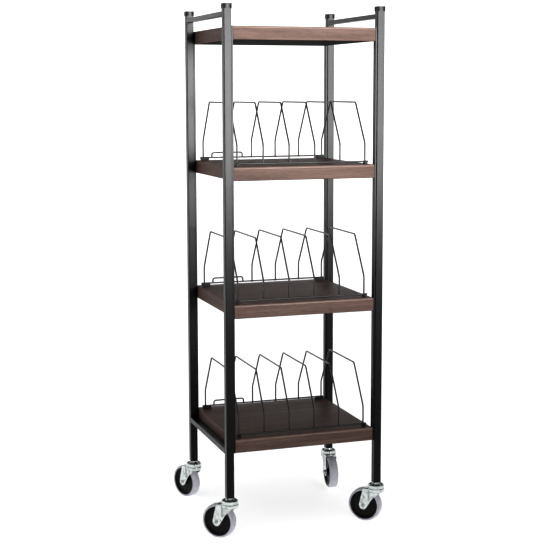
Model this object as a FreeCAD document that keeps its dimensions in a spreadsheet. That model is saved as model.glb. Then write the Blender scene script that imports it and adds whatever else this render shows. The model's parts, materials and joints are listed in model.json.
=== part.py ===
import FreeCAD, Part
import math
import os
import Sketcher

# Wheeled chart rack: four square posts, four boards, wire dividers, four swivel casters.
# Own frame in mm: +Z up, -Y the front, z = 0 the floor, origin below the middle of the whole rack.
SIZES = [
    ("rack_x", 25.0), ("rack_y", -30.0),
    ("span_x", 454.0), ("span_y", 394.0),
    ("post_side", 22.2), ("post_wall", 1.5), ("post_round", 2.0),
    ("post_bottom", 122.0), ("post_length", 1388.1),
    ("cap_height", 2.5), ("cap_round", 1.2), ("plug_side", 19.1), ("plug_depth", 14.0),
    ("insert_height", 45.0),
    ("bar_height", 12.7), ("bar_bottom", 1478.8),
    ("rail_height", 15.9), ("rail_bottom", 247.5), ("tube_round", 1.5),
    ("shelf_width", 421.7), ("shelf_depth", 410.2), ("shelf_thick", 38.5),
    ("backer_thick", 1.0), ("backer_inset", 2.5),
    ("shelf_top", 1452.6), ("shelf_pitch", 387.35),
    ("shelf_round", 4.0), ("shelf_side_round", 1.5),
    ("strip_thick", 5.0), ("strip_width", 16.0), ("strip_bevel", 0.8),
    ("pin_radius", 3.0), ("pin_bore", 3.05), ("pin_depth", 12.0), ("pin_length", 16.5),
    ("wire_radius", 2.4), ("loop_pitch", 77.1), ("foot_y", 175.5), ("foot_z", 5.9),
    ("knee_z", 60.0), ("crest_y", 102.0), ("crest_z", 177.0),
    ("knee_bend", 24.0), ("crest_bend", 11.0),
    ("wire_rail_y", 180.35), ("wire_rail_z", 8.3), ("wire_rail_length", 403.0),
    ("wire_end_round", 1.2),
    ("clip_length", 24.0), ("clip_width", 14.0), ("clip_height", 9.4), ("foot_length", 9.0),
    ("clip_x", 187.0), ("clip_y", 179.0), ("clip_floor", 5.8), ("clip_gap", 2.45),
    ("hoop_left", -164.0), ("hoop_right", -67.0), ("hoop_z", 23.0),
    ("hoop_foot_z", 10.75), ("hoop_bend", 7.0),
    ("front_left_turn", 135.0), ("front_right_turn", 135.0),
    ("rear_left_turn", 116.1), ("rear_right_turn", -97.2),
    ("wheel_radius", 50.0), ("wheel_width", 28.0), ("trail", 34.0),
    ("core_radius", 43.2), ("tyre_inner", 43.25), ("tyre_round", 5.0),
    ("rim_inner", 35.0), ("rim_width", 26.0), ("web_width", 12.0),
    ("hub_radius", 13.0), ("hub_width", 30.0), ("hub_bore", 4.05), ("rim_bevel", 1.5),
    ("fork_width", 37.0), ("fork_gap", 32.0), ("crown_radius", 25.0),
    ("crown_top", 104.6), ("crown_thick", 3.0), ("crown_round", 0.6),
    ("skirt_bend_z", 98.2), ("skirt_side", 21.8), ("skirt_side_z", 93.2),
    ("skirt_foot", 14.0), ("skirt_bottom", 90.5), ("skirt_wall", 2.4),
    ("skirt_inner", 20.0), ("skirt_inner_z", 95.1), ("skirt_gap", 3.0),
    ("leg_rear", -14.0), ("leg_front", 34.0), ("leg_end", 12.5),
    ("leg_top", 103.8), ("leg_bend", 2.5),
    ("leg_front_x", 46.16), ("leg_front_z", 52.9), ("leg_rear_x", 23.4), ("leg_rear_z", 43.38),
    ("leg_knee_x", 3.0), ("leg_knee_z", 76.0), ("leg_hip_x", -12.0), ("leg_hip_z", 86.0),
    ("rib_x", 15.8), ("rib_z", 82.0), ("rib_width", 6.4), ("rib_length", 32.0),
    ("rib_height", 1.3), ("cut_length", 200.0),
    ("pivot_bore", 5.05), ("axle_radius", 4.0), ("axle_bore", 4.05),
    ("pivot_radius", 5.0), ("pivot_head", 8.0), ("pivot_head_z", 97.7), ("pivot_head_top", 101.1),
    ("stem_radius", 5.5), ("stem_top", 162.0), ("stem_bore", 5.55), ("stem_bevel", 1.0),
    ("collar_flat", 19.0), ("collar_bottom", 115.6),
    ("cup_radius", 24.5), ("cup_top", 115.5), ("cup_shoulder", 113.0), ("cup_bottom", 105.5),
    ("cup_flat", 21.5), ("cup_wall", 2.0), ("cup_bore", 5.05), ("cup_round", 2.0),
    ("bolt_head_radius", 5.2), ("bolt_head", 2.2), ("head_round", 1.4), ("bolt_end", 26.0),
    ("nut_flat", 13.0), ("nut_height", 6.5), ("nut_bore", 4.03),
]

doc = FreeCAD.newDocument("chart_rack")
sheet = doc.addObject("Spreadsheet::Sheet", "Sizes")
for row, (alias, value) in enumerate(SIZES, 1):
    sheet.set("A%d" % row, alias)
    sheet.set("B%d" % row, str(value))
    sheet.setAlias("B%d" % row, alias)
doc.recompute()

CORNERS = {
    "front_left": (-1, -1),
    "front_right": (1, -1),
    "rear_left": (-1, 1),
    "rear_right": (1, 1),
}
SHELVES = 4
FIRST_DIVIDED = 2
LOOPS = 6
OUTER_LOOP = (LOOPS - 1) / 2
FLAT_NORMAL = 0.999
NEAR = 0.01
NOTHING = 1e-9
pieces = []


def sized(name):
    """The number behind one alias of the sheet."""
    return float(sheet.get(name))


def origin_item(body, role):
    """One of a body's own origin planes or axes."""
    return next(item for item in body.Origin.OriginFeatures if item.Role == role)


def new_body(label, x="0", y="0", z="0", turn=None):
    """A named body placed by expressions, turned about +Z by a cell of degrees."""
    body = doc.addObject("PartDesign::Body", label)
    body.Label = label
    body.AllowCompound = True
    if turn:
        body.Placement = FreeCAD.Placement(
            FreeCAD.Vector(0, 0, 0), FreeCAD.Rotation(FreeCAD.Vector(0, 0, 1), sized(turn)))
    body.setExpression("Placement.Base.x", x)
    body.setExpression("Placement.Base.y", y)
    body.setExpression("Placement.Base.z", z)
    pieces.append(body)
    return body


def new_sketch(body, name, role, offset=None):
    """A sketch on one of the body's own planes, moved along its normal."""
    sketch = body.newObject("Sketcher::SketchObject", body.Name + "_" + name)
    sketch.AttachmentSupport = (origin_item(body, role), [""])
    sketch.MapMode = "FlatFace"
    if offset:
        sketch.setExpression("AttachmentOffset.Base.z", offset)
    return sketch


def cell(text):
    """Shorthand: every word of a formula that names a cell gets the sheet's name."""
    names = sorted((name for name, _ in SIZES), key=len, reverse=True)
    words = text.replace("(", " ( ").replace(")", " ) ").split()
    return " ".join("Sizes." + word.lstrip("-") if word in names else
                    "-Sizes." + word[1:] if word.startswith("-") and word[1:] in names else word
                    for word in words)


def worth(text):
    """The present value of a formula."""
    return float(sheet.evalExpression(cell(text)))


def pin_point(sketch, geometry, point, x, y):
    """Hold one point of a sketch at a place given by two formulas."""
    for kind, text, line in (("DistanceX", x, -2), ("DistanceY", y, -1)):
        value = worth(text)
        if abs(value) < NOTHING:
            sketch.addConstraint(Sketcher.Constraint("PointOnObject", geometry, point, line))
        else:
            number = sketch.addConstraint(
                Sketcher.Constraint(kind, -1, 1, geometry, point, value))
            sketch.setExpression("Constraints[%d]" % number, cell(text))


def polygon(sketch, corners):
    """A closed outline of straight edges through corners given as formulas."""
    points = [FreeCAD.Vector(worth(x), worth(y), 0) for x, y in corners]
    count = len(points)
    first = sketch.GeometryCount
    for i in range(count):
        sketch.addGeometry(Part.LineSegment(points[i], points[(i + 1) % count]), False)
    for i in range(count):
        sketch.addConstraint(
            Sketcher.Constraint("Coincident", first + i, 2, first + (i + 1) % count, 1))
    for i, (x, y) in enumerate(corners):
        pin_point(sketch, first + i, 1, x, y)


def rectangle(sketch, x, y, width, height):
    """A rectangle about a centre, all four as formulas."""
    left = "%s - %s / 2" % (x, width)
    right = "%s + %s / 2" % (x, width)
    low = "%s - %s / 2" % (y, height)
    high = "%s + %s / 2" % (y, height)
    polygon(sketch, [(left, low), (right, low), (right, high), (left, high)])


def circle(sketch, x, y, radius):
    """A circle held by its centre and radius."""
    place = FreeCAD.Vector(worth(x), worth(y), 0)
    number = sketch.addGeometry(
        Part.Circle(place, FreeCAD.Vector(0, 0, 1), worth(radius)), False)
    pin_point(sketch, number, 3, x, y)
    held = sketch.addConstraint(Sketcher.Constraint("Radius", number, worth(radius)))
    sketch.setExpression("Constraints[%d]" % held, cell(radius))


def hexagon(sketch, x, y, flats):
    """A hexagon with two corners on the line through its centre."""
    corners = []
    for step in range(6):
        across = "%s / %.6f" % (flats, 2 * math.cos(math.pi / 6))
        corners.append(("%s + %s * %.6f" % (x, across, math.cos(step * math.pi / 3)),
                        "%s + %s * %.6f" % (y, across, math.sin(step * math.pi / 3))))
    polygon(sketch, corners)


def bent_line(sketch, corners, bends):
    """An open wire line: guide lines through the corners, tangent arcs at each bend."""
    points = [FreeCAD.Vector(worth(x), worth(y), 0) for x, y in corners]
    count = len(points)
    guide = sketch.GeometryCount
    for i in range(count - 1):
        sketch.addGeometry(Part.LineSegment(points[i], points[i + 1]), True)
    for i in range(count - 2):
        sketch.addConstraint(Sketcher.Constraint("Coincident", guide + i, 2, guide + i + 1, 1))
    for i in range(count - 1):
        pin_point(sketch, guide + i, 1, *corners[i])
    pin_point(sketch, guide + count - 2, 2, *corners[-1])
    starts = [points[0]]
    ends = []
    arcs = []
    for i in range(1, count - 1):
        before = (points[i - 1] - points[i]).normalize()
        after = (points[i + 1] - points[i]).normalize()
        half = before.getAngle(after) / 2
        radius = worth(bends[i - 1])
        back = radius / math.tan(half)
        middle = points[i] + (before + after).normalize() * (radius / math.sin(half))
        ends.append(points[i] + before * back)
        starts.append(points[i] + after * back)
        left_turn = (before.cross(after)).z < 0
        one, two = (ends[-1], starts[-1]) if left_turn else (starts[-1], ends[-1])
        first = math.atan2(one.y - middle.y, one.x - middle.x)
        last = math.atan2(two.y - middle.y, two.x - middle.x)
        base = Part.Circle(middle, FreeCAD.Vector(0, 0, 1), radius)
        arcs.append((Part.ArcOfCircle(base, first, last), left_turn))
    ends.append(points[-1])
    real = sketch.GeometryCount
    for start, end in zip(starts, ends):
        sketch.addGeometry(Part.LineSegment(start, end), False)
    bend = sketch.GeometryCount
    for arc, left_turn in arcs:
        sketch.addGeometry(arc, False)
    for i in range(count - 1):
        if i == 0:
            sketch.addConstraint(Sketcher.Constraint("Coincident", real, 1, guide, 1))
        else:
            sketch.addConstraint(
                Sketcher.Constraint("PointOnObject", real + i, 1, guide + i))
        if i == count - 2:
            sketch.addConstraint(Sketcher.Constraint("Coincident", real + i, 2, guide + i, 2))
        else:
            sketch.addConstraint(
                Sketcher.Constraint("PointOnObject", real + i, 2, guide + i))
    for i, (arc, left_turn) in enumerate(arcs):
        enter, leave = (1, 2) if left_turn else (2, 1)
        sketch.addConstraint(Sketcher.Constraint("Tangent", real + i, 2, bend + i, enter))
        sketch.addConstraint(Sketcher.Constraint("Tangent", real + i + 1, 1, bend + i, leave))
        held = sketch.addConstraint(Sketcher.Constraint("Radius", bend + i, worth(bends[i])))
        sketch.setExpression("Constraints[%d]" % held, cell(bends[i]))


def feature(body, kind, name, sketch):
    """A PartDesign feature made from a sketch."""
    made = body.newObject("PartDesign::" + kind, body.Name + "_" + name)
    made.Profile = sketch
    sketch.Visibility = False
    return made


def pad(body, name, sketch, length, middle=False, back=False):
    """Material along the sketch's normal, both ways from it if middle is set."""
    made = feature(body, "Pad", name, sketch)
    made.setExpression("Length", cell(length))
    made.Midplane = middle
    made.Reversed = back
    return made


def pocket(body, name, sketch, depth, middle=False, back=False):
    """Material taken away along the sketch's normal; the volume has to drop."""
    doc.recompute()
    before = body.Shape.Volume
    made = feature(body, "Pocket", name, sketch)
    made.setExpression("Length", cell(depth))
    made.Midplane = middle
    made.Reversed = back
    doc.recompute()
    if body.Shape.Volume > before - NEAR:
        raise RuntimeError("%s cuts nothing" % made.Name)
    return made


def revolve(body, name, sketch, axis):
    """A full turn about one axis of the sketch."""
    made = feature(body, "Revolution", name, sketch)
    made.ReferenceAxis = (sketch, [axis])
    made.Angle = 360
    return made


def sweep(body, name, section, spine):
    """A wire: a round section carried along a bent line."""
    made = feature(body, "AdditivePipe", name, section)
    made.Spine = (spine, [])
    spine.Visibility = False
    return made


def repeat(body, name, features, role, step, count):
    """The same features again at equal steps along one axis of the body."""
    made = body.newObject("PartDesign::LinearPattern", body.Name + "_" + name)
    made.Originals = features
    made.Direction = (origin_item(body, role), [""])
    made.setExpression("Length", cell("( %d ) * ( %s )" % (count - 1, step)))
    made.Occurrences = count
    body.Tip = made
    return made


def soften(body, name, base, wanted, size, kind="Fillet"):
    """Round or bevel the edges of a feature that pass a test."""
    doc.recompute()
    names = ["Edge%d" % number for number, edge in enumerate(base.Shape.Edges, 1)
             if wanted(edge)]
    if not names:
        raise RuntimeError("%s finds no edge" % name)
    made = body.newObject("PartDesign::" + kind, body.Name + "_" + name)
    made.Base = (base, names)
    made.setExpression("Radius" if kind == "Fillet" else "Size", cell(size))
    return made


def along(edge, direction):
    """True for a straight edge that runs along a direction."""
    if edge.Curve.TypeId != "Part::GeomLine":
        return False
    return abs(edge.Curve.Direction.dot(direction)) > FLAT_NORMAL


def middle_of(edge):
    """The centre of an edge's own box."""
    return edge.BoundBox.Center


def level(edge, height):
    """True for an edge that lies flat at one height."""
    box = edge.BoundBox
    return abs(box.ZMin - height) < NEAR and abs(box.ZMax - height) < NEAR


ALONG_X = FreeCAD.Vector(1, 0, 0)
ALONG_Y = FreeCAD.Vector(0, 1, 0)
ALONG_Z = FreeCAD.Vector(0, 0, 1)


def post_place(corner):
    """Formulas for the centre of one post."""
    side_x, side_y = CORNERS[corner]
    return (cell("rack_x + ( %d ) * span_x / 2" % side_x),
            cell("rack_y + ( %d ) * span_y / 2" % side_y))


# ---- frame ---------------------------------------------------------------------------------
def make_post(corner):
    """Square tube with rounded corners, open at both ends."""
    x, y = post_place(corner)
    body = new_body("post_" + corner, x, y, cell("post_bottom"))
    outer = new_sketch(body, "outside", "XY_Plane")
    rectangle(outer, "0", "0", "post_side", "post_side")
    tube = pad(body, "tube", outer, "post_length")
    soften(body, "corners", tube, lambda edge: along(edge, ALONG_Z), "post_round")
    inner = new_sketch(body, "inside", "XY_Plane")
    clear = "( post_side - 2 * post_wall )"
    rectangle(inner, "0", "0", clear, clear)
    pocket(body, "hollow", inner, "post_length", back=True)


def make_post_caps():
    """Four domed plastic caps with square plugs that push into the tubes."""
    body = new_body("post_caps", cell("rack_x"), cell("rack_y"),
                    cell("post_bottom + post_length"))
    heads = new_sketch(body, "heads", "XY_Plane")
    plugs = new_sketch(body, "plugs", "XY_Plane")
    for side_x, side_y in CORNERS.values():
        x = "( %d ) * span_x / 2" % side_x
        y = "( %d ) * span_y / 2" % side_y
        rectangle(heads, x, y, "post_side", "post_side")
        rectangle(plugs, x, y, "plug_side", "plug_side")
    head = pad(body, "head", heads, "cap_height")
    round_side = soften(body, "sides", head, lambda edge: along(edge, ALONG_Z), "post_round")
    top = sized("cap_height")
    soften(body, "tops", round_side, lambda edge: level(edge, top), "cap_round")
    pad(body, "plug", plugs, "plug_depth", back=True)


def make_post_inserts():
    """Four square plugs in the feet of the posts, bored for the caster stems."""
    body = new_body("post_inserts", cell("rack_x"), cell("rack_y"), cell("post_bottom"))
    blocks = new_sketch(body, "blocks", "XY_Plane")
    bores = new_sketch(body, "bores", "XY_Plane")
    for side_x, side_y in CORNERS.values():
        x = "( %d ) * span_x / 2" % side_x
        y = "( %d ) * span_y / 2" % side_y
        rectangle(blocks, x, y, "plug_side", "plug_side")
        circle(bores, x, y, "stem_bore")
    pad(body, "block", blocks, "insert_height")
    pocket(body, "bore", bores, "insert_height", back=True)


def make_side_tube(label, side, bottom, height):
    """Flat tube from the front post to the rear post of one side."""
    body = new_body(label, cell("rack_x + ( %d ) * span_x / 2" % side), cell("rack_y"),
                    cell("%s + %s / 2" % (bottom, height)))
    outer = new_sketch(body, "outside", "XZ_Plane")
    rectangle(outer, "0", "0", "post_side", height)
    tube = pad(body, "tube", outer, "span_y - post_side", middle=True)
    soften(body, "corners", tube, lambda edge: along(edge, ALONG_Y), "tube_round")
    inner = new_sketch(body, "inside", "XZ_Plane")
    rectangle(inner, "0", "0", "( post_side - 2 * post_wall )",
              "( %s - 2 * post_wall )" % height)
    pocket(body, "hollow", inner, "span_y", middle=True)


def make_strip(corner):
    """Bar on the post's inner face that carries the four board pins."""
    side_x, side_y = CORNERS[corner]
    body = new_body("shelf_strip_" + corner,
                    cell("rack_x + ( %d ) * ( span_x - post_side - strip_thick ) / 2" % side_x),
                    cell("rack_y + ( %d ) * span_y / 2" % side_y),
                    cell("shelf_top - %d * shelf_pitch - shelf_thick" % (SHELVES - 1)))
    outer = new_sketch(body, "outside", "XY_Plane")
    rectangle(outer, "0", "0", "strip_thick", "strip_width")
    bar = pad(body, "bar", outer, "%d * shelf_pitch + shelf_thick" % (SHELVES - 1))
    soften(body, "edges", bar,
           lambda edge: along(edge, ALONG_Z) and middle_of(edge).x * side_x < 0,
           "strip_bevel", "Chamfer")
    bores = new_sketch(body, "bores", "YZ_Plane")
    for shelf in range(SHELVES):
        circle(bores, "0", "shelf_thick / 2 + %d * shelf_pitch" % shelf, "pin_bore")
    pocket(body, "bore", bores, "2 * strip_thick", middle=True)


# ---- shelves -------------------------------------------------------------------------------
def make_shelf(number):
    """Board with rounded edges and four blind bores for the pins."""
    body = new_body("shelf_%d" % number, cell("rack_x"), cell("rack_y"),
                    cell("shelf_top - %d * shelf_pitch - shelf_thick + backer_thick"
                         % (number - 1)))
    outer = new_sketch(body, "outline", "XY_Plane")
    rectangle(outer, "0", "0", "shelf_width", "shelf_depth")
    board = pad(body, "board", outer, "shelf_thick - backer_thick")
    top = sized("shelf_thick") - sized("backer_thick")
    upright = soften(body, "corners", board, lambda edge: along(edge, ALONG_Z),
                     "shelf_side_round")
    fronts = soften(body, "long_edges", upright,
                    lambda edge: level(edge, top) and along(edge, ALONG_X), "shelf_round")
    soften(body, "low_edges", fronts,
           lambda edge: level(edge, 0) and along(edge, ALONG_X), "shelf_side_round")
    for name, side in (("left", -1), ("right", 1)):
        bores = new_sketch(body, name + "_bores", "YZ_Plane",
                           cell("( %d ) * ( shelf_width / 2 - pin_depth / 2 )" % side))
        for end in (-1, 1):
            circle(bores, "( %d ) * span_y / 2" % end,
                   "shelf_thick / 2 - backer_thick", "pin_bore")
        pocket(body, name + "_bore", bores, "pin_depth", middle=True)


def make_backer(number):
    """Thin dark sheet under a board."""
    body = new_body("shelf_backer_%d" % number, cell("rack_x"), cell("rack_y"),
                    cell("shelf_top - %d * shelf_pitch - shelf_thick" % (number - 1)))
    outer = new_sketch(body, "outline", "XY_Plane")
    rectangle(outer, "0", "0", "( shelf_width - 2 * backer_inset )",
              "( shelf_depth - 2 * backer_inset )")
    sheet_pad = pad(body, "sheet", outer, "backer_thick")
    soften(body, "corners", sheet_pad, lambda edge: along(edge, ALONG_Z), "shelf_side_round")


def make_pins():
    """Sixteen round pins between the strips and the ends of the boards."""
    body = new_body("shelf_pins", cell("rack_x"), cell("rack_y"), "0")
    for name, side in (("left", -1), ("right", 1)):
        ends = new_sketch(body, name, "YZ_Plane",
                          cell("( %d ) * ( ( span_x - post_side - pin_length ) / 2 )" % side))
        for shelf in range(SHELVES):
            for end in (-1, 1):
                circle(ends, "( %d ) * span_y / 2" % end,
                       "shelf_top - %d * shelf_pitch - shelf_thick / 2" % shelf, "pin_radius")
        pad(body, name + "_pins", ends, "pin_length", middle=True)


# ---- wire dividers -------------------------------------------------------------------------
def deck(number):
    """Formula for the height of a board's top."""
    return cell("shelf_top - %d * shelf_pitch" % (number - 1))


def make_wire_rails(number):
    """Two straight wires, front and rear, that carry the divider loops."""
    body = new_body("wire_rails_%d" % number, cell("rack_x"), cell("rack_y"), deck(number))
    section = new_sketch(body, "section", "YZ_Plane")
    for end in (-1, 1):
        circle(section, "( %d ) * wire_rail_y" % end, "wire_rail_z", "wire_radius")
    wires = pad(body, "wires", section, "wire_rail_length", middle=True)
    soften(body, "ends", wires, lambda edge: abs(edge.BoundBox.XLength) < NEAR,
           "wire_end_round")


def make_dividers(number):
    """Six bent wire loops standing on the rails, one between each pair of slots."""
    body = new_body("dividers_%d" % number, cell("rack_x"), cell("rack_y"), deck(number))
    first = cell("%g * loop_pitch" % -OUTER_LOOP)
    spine = new_sketch(body, "spine", "YZ_Plane", first)
    bent_line(spine, [("-foot_y", "foot_z"), ("-foot_y", "knee_z"), ("-crest_y", "crest_z"),
                      ("crest_y", "crest_z"), ("foot_y", "knee_z"), ("foot_y", "foot_z")],
              ["knee_bend", "crest_bend", "crest_bend", "knee_bend"])
    section = new_sketch(body, "section", "XY_Plane", cell("foot_z"))
    circle(section, "%g * loop_pitch" % -OUTER_LOOP, "-foot_y", "wire_radius")
    loop = sweep(body, "loop", section, spine)
    doc.recompute()
    repeat(body, "loops", [loop], "X_Axis", "loop_pitch", LOOPS)


def make_clips():
    """Moulded blocks under each corner of the wire work: long ones behind, short in front."""
    body = new_body("wire_clips", cell("rack_x"), cell("rack_y"),
                    deck(SHELVES))
    blocks = new_sketch(body, "blocks", "XY_Plane")
    grooves = new_sketch(body, "grooves", "XY_Plane", cell("clip_floor"))
    seats = new_sketch(body, "seats", "XY_Plane", cell("clip_floor"))
    for side_x, side_y in CORNERS.values():
        leg = "( %g ) * loop_pitch" % (side_x * OUTER_LOOP)
        x, length = leg, "foot_length"
        if side_y > 0:
            x, length = "( %d ) * clip_x" % side_x, "clip_length"
        rectangle(blocks, x, "( %d ) * clip_y" % side_y, length, "clip_width")
        rectangle(grooves, x, "( %d ) * wire_rail_y" % side_y, "2 * " + length,
                  "2 * clip_gap")
        circle(seats, leg, "( %d ) * foot_y" % side_y, "clip_gap")
    block = pad(body, "block", blocks, "clip_height")
    groove = pocket(body, "groove", grooves, "clip_height", back=True)
    seat = pocket(body, "seat", seats, "clip_height", back=True)
    repeat(body, "levels", [block, groove, seat], "Z_Axis", "shelf_pitch",
           SHELVES - FIRST_DIVIDED + 1)


def make_hoops():
    """Three low wire hoops standing on the rear rails near the left."""
    body = new_body("rear_hoops", cell("rack_x"), cell("rack_y + wire_rail_y"),
                    deck(SHELVES))
    spine = new_sketch(body, "spine", "XZ_Plane")
    bent_line(spine, [("hoop_left", "hoop_foot_z"), ("hoop_left", "hoop_z"),
                      ("hoop_right", "hoop_z"), ("hoop_right", "hoop_foot_z")],
              ["hoop_bend", "hoop_bend"])
    section = new_sketch(body, "section", "XY_Plane", cell("hoop_foot_z"))
    circle(section, "hoop_left", "0", "wire_radius")
    hoop = sweep(body, "hoop", section, spine)
    doc.recompute()
    repeat(body, "levels", [hoop], "Z_Axis", "shelf_pitch", SHELVES - FIRST_DIVIDED + 1)


# ---- casters -------------------------------------------------------------------------------
def make_stem(corner):
    """Fixed pivot: rivet head, pin, hex collar under the post and stem inside it."""
    x, y = post_place(corner)
    body = new_body("caster_stem_" + corner, x, y, "0", corner + "_turn")
    half = new_sketch(body, "half", "XZ_Plane")
    polygon(half, [("0", "pivot_head_z"), ("pivot_head", "pivot_head_z"),
                   ("pivot_head", "pivot_head_top"), ("pivot_radius", "pivot_head_top"),
                   ("pivot_radius", "collar_bottom"), ("stem_radius", "collar_bottom"),
                   ("stem_radius", "stem_top"), ("0", "stem_top")])
    turned = revolve(body, "turned", half, "V_Axis")
    top = sized("stem_top")
    soften(body, "tip", turned, lambda edge: level(edge, top), "stem_bevel", "Chamfer")
    nut = new_sketch(body, "nut", "XY_Plane", cell("collar_bottom"))
    hexagon(nut, "0", "0", "collar_flat")
    pad(body, "collar", nut, "post_bottom - collar_bottom")


def make_cup(corner):
    """Pressed raceway cup fixed under the collar."""
    x, y = post_place(corner)
    body = new_body("caster_cup_" + corner, x, y, "0")
    half = new_sketch(body, "half", "XZ_Plane")
    polygon(half, [("cup_bore", "cup_top"), ("cup_flat", "cup_top"),
                   ("cup_radius", "cup_shoulder"), ("cup_radius", "cup_bottom"),
                   ("cup_radius - cup_wall", "cup_bottom"),
                   ("cup_radius - cup_wall", "cup_shoulder - cup_wall"),
                   ("cup_flat - cup_wall", "cup_top - cup_wall"),
                   ("cup_bore", "cup_top - cup_wall")])
    turned = revolve(body, "turned", half, "V_Axis")
    outer = sized("cup_radius")
    shoulder = sized("cup_shoulder")
    soften(body, "shoulder", turned,
           lambda edge: level(edge, shoulder) and edge.BoundBox.XLength > 2 * outer - NEAR,
           "cup_round")


def make_fork(corner):
    """Swivel fork: round crown with a bowl-shaped skirt, two tapering legs with a rib."""
    x, y = post_place(corner)
    body = new_body("caster_fork_" + corner, x, y, "0", corner + "_turn")
    legs = new_sketch(body, "legs", "XZ_Plane")
    polygon(legs, [("leg_rear", "leg_top"), ("leg_front", "leg_top"),
                   ("leg_front_x", "leg_front_z"), ("trail", "wheel_radius"),
                   ("leg_rear_x", "leg_rear_z"), ("leg_knee_x", "leg_knee_z"),
                   ("leg_hip_x", "leg_hip_z")])
    blank = pad(body, "leg", legs, "fork_width", middle=True)
    top = sized("leg_top")
    soften(body, "bends", blank, lambda edge: along(edge, ALONG_X) and level(edge, top),
           "leg_bend")
    ends = new_sketch(body, "ends", "XZ_Plane")
    circle(ends, "trail", "wheel_radius", "leg_end")
    pad(body, "end", ends, "fork_width", middle=True)
    ribs = new_sketch(body, "ribs", "XZ_Plane")
    rectangle(ribs, "rib_x", "rib_z", "rib_width", "rib_length")
    pad(body, "rib", ribs, "fork_width + 2 * rib_height", middle=True)
    slot = new_sketch(body, "slot", "YZ_Plane")
    rectangle(slot, "0", "( crown_top - crown_thick ) / 2", "fork_gap",
              "( crown_top - crown_thick )")
    pocket(body, "gap", slot, "cut_length", middle=True)
    disc = new_sketch(body, "disc", "XY_Plane", cell("crown_top - crown_thick"))
    circle(disc, "0", "0", "crown_radius")
    crown = pad(body, "crown", disc, "crown_thick")
    radius = sized("crown_radius")
    soften(body, "rim", crown,
           lambda edge: edge.Curve.TypeId == "Part::GeomCircle"
           and abs(edge.Curve.Radius - radius) < NEAR and level(edge, sized("crown_top")),
           "crown_round")
    bowl = new_sketch(body, "bowl", "XZ_Plane")
    polygon(bowl, [("crown_radius", "crown_top - crown_thick / 2"),
                   ("crown_radius", "skirt_bend_z"), ("skirt_side", "skirt_side_z"),
                   ("skirt_foot", "skirt_bottom"), ("skirt_foot", "skirt_bottom + skirt_wall"),
                   ("skirt_inner", "skirt_inner_z"),
                   ("crown_radius - skirt_wall", "skirt_bend_z + skirt_wall / 3"),
                   ("crown_radius - skirt_wall", "crown_top - crown_thick / 2")])
    revolve(body, "skirt", bowl, "V_Axis")
    way = new_sketch(body, "way", "XY_Plane", cell("crown_top - crown_thick"))
    rectangle(way, "skirt_gap + crown_radius / 2", "0", "crown_radius", "fork_gap")
    pocket(body, "wheel_way", way, "crown_top - skirt_bottom")
    bore = new_sketch(body, "bore", "XY_Plane", cell("crown_top"))
    circle(bore, "0", "0", "pivot_bore")
    pocket(body, "pivot_hole", bore, "cut_length")
    axle = new_sketch(body, "axle", "XZ_Plane")
    circle(axle, "trail", "wheel_radius", "axle_bore")
    pocket(body, "axle_hole", axle, "cut_length", middle=True)


def wheel_place(corner):
    """Formulas for the centre of one wheel."""
    x, y = post_place(corner)
    turn = "Sizes.%s_turn * 1 deg" % corner
    return ("%s + Sizes.trail * cos(%s)" % (x, turn),
            "%s + Sizes.trail * sin(%s)" % (y, turn), "Sizes.wheel_radius")


def make_axle_bolt(corner):
    """Round-headed bolt through both fork legs and the wheel."""
    body = new_body("caster_axle_" + corner, *wheel_place(corner), corner + "_turn")
    shank = new_sketch(body, "shank", "XZ_Plane", cell("bolt_end"))
    circle(shank, "0", "0", "axle_radius")
    pad(body, "shank_pad", shank, "bolt_end + fork_width / 2", back=True)
    head = new_sketch(body, "head", "XZ_Plane", cell("-fork_width / 2"))
    circle(head, "0", "0", "bolt_head_radius")
    button = pad(body, "head_pad", head, "bolt_head", back=True)
    radius = sized("bolt_head_radius")
    outside = (sized("fork_width") / 2) + sized("bolt_head")
    soften(body, "head_rim", button,
           lambda edge: edge.Curve.TypeId == "Part::GeomCircle"
           and abs(edge.Curve.Radius - radius) < NEAR
           and abs(middle_of(edge).y - outside) < NEAR, "head_round")


def make_axle_nut(corner):
    """Hex nut on the far end of the axle bolt."""
    body = new_body("caster_nut_" + corner, *wheel_place(corner), corner + "_turn")
    outline = new_sketch(body, "outline", "XZ_Plane", cell("fork_width / 2"))
    hexagon(outline, "0", "0", "nut_flat")
    circle(outline, "0", "0", "nut_bore")
    pad(body, "nut", outline, "nut_height")


def make_wheel_core(corner):
    """Moulded wheel: hub, thinner web and rim, turned about the axle."""
    body = new_body("wheel_core_" + corner, *wheel_place(corner), corner + "_turn")
    half = new_sketch(body, "half", "YZ_Plane")
    polygon(half, [("-hub_width / 2", "hub_bore"), ("hub_width / 2", "hub_bore"),
                   ("hub_width / 2", "hub_radius"), ("web_width / 2", "hub_radius"),
                   ("web_width / 2", "rim_inner"), ("rim_width / 2", "rim_inner"),
                   ("rim_width / 2", "core_radius"), ("-rim_width / 2", "core_radius"),
                   ("-rim_width / 2", "rim_inner"), ("-web_width / 2", "rim_inner"),
                   ("-web_width / 2", "hub_radius"), ("-hub_width / 2", "hub_radius")])
    turned = revolve(body, "turned", half, "H_Axis")
    rim = sized("rim_inner")
    soften(body, "edges", turned,
           lambda edge: edge.Curve.TypeId == "Part::GeomCircle"
           and abs(edge.Curve.Radius - rim) < NEAR
           and abs(abs(middle_of(edge).y) - sized("rim_width") / 2) < NEAR,
           "rim_bevel")


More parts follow.
